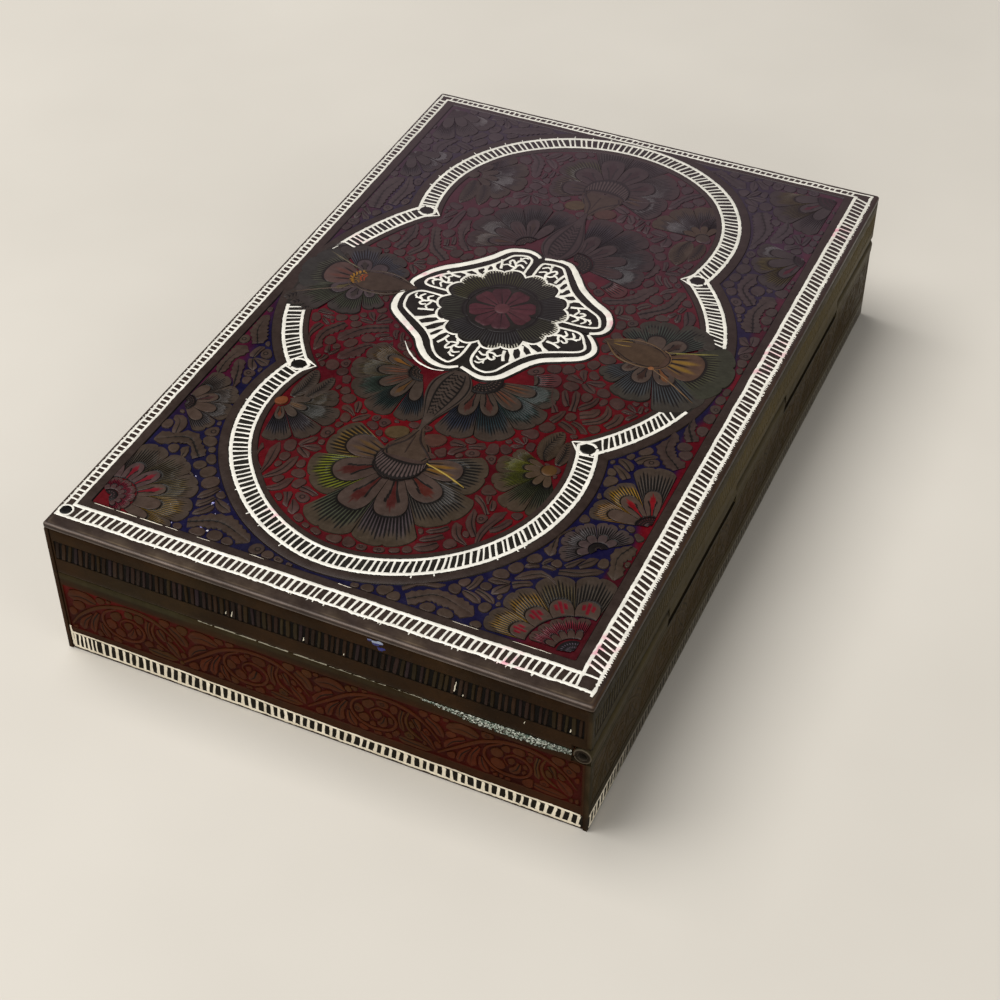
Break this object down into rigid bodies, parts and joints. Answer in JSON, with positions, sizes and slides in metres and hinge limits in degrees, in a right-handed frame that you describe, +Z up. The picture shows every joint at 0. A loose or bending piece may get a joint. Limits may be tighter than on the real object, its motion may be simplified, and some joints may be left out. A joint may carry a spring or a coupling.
{
  "type": "cigarette box",
  "caption": "Flat hinged table box for cigarettes in engraved and lacquered sheet metal, with a wood lining, a divider and a flush barrel hinge along one long side.",
  "frame": {"origin": "middle of the underside, on the surface the box stands on", "axes": "+Z up; +Y along the long side, away from the front end; +X across the short side, towards the hinge"},
  "size_m": [0.1, 0.154, 0.03],
  "materials": {
    "lid_plate": "engraved in low relief, brown, red and blue lacquer with bright-cut silvery lines, satin gloss",
    "wall_sheet": "engraved, dark brown and red lacquer, bright-cut silvery border, satin",
    "floor_sheet": "bare, dull",
    "barrel": "lacquered outside, bare and dull at the ends",
    "pin": "drawn wire",
    "lining": "planed, thin satin varnish",
    "felt": "matt, short nap"
  },
  "bodies": {
    "base": {"base_front_wall": "wall_sheet", "base_rear_wall": "wall_sheet", "base_left_wall": "wall_sheet", "base_hinge_wall": "wall_sheet", "base_floor_plate": "floor_sheet", "base_felt": "felt", "base_lining_board": "lining", "base_lining_left": "lining", "base_lining_hinge": "lining", "base_lining_front": "lining", "base_lining_rear": "lining", "base_divider": "lining", "hinge_knuckle_base_front": "barrel", "hinge_knuckle_base_middle": "barrel", "hinge_knuckle_base_rear": "barrel", "hinge_pin": "pin"},
    "lid": {"lid_top_plate": "lid_plate", "lid_front_wall": "wall_sheet", "lid_rear_wall": "wall_sheet", "lid_left_wall": "wall_sheet", "lid_hinge_wall": "wall_sheet", "lid_lining_board": "lining", "lid_lining_left": "lining", "lid_lining_hinge": "lining", "lid_lining_front": "lining", "lid_lining_rear": "lining", "hinge_knuckle_lid_front": "barrel", "hinge_knuckle_lid_rear": "barrel"}
  },
  "joints": [
    {"name": "lid_hinge", "type": "hinge", "parent": "base", "child": "lid", "pos_m": [0.0484, 0, 0.0179], "axis": [0, 1, 0], "range_deg": [0, 100]}
  ]
}
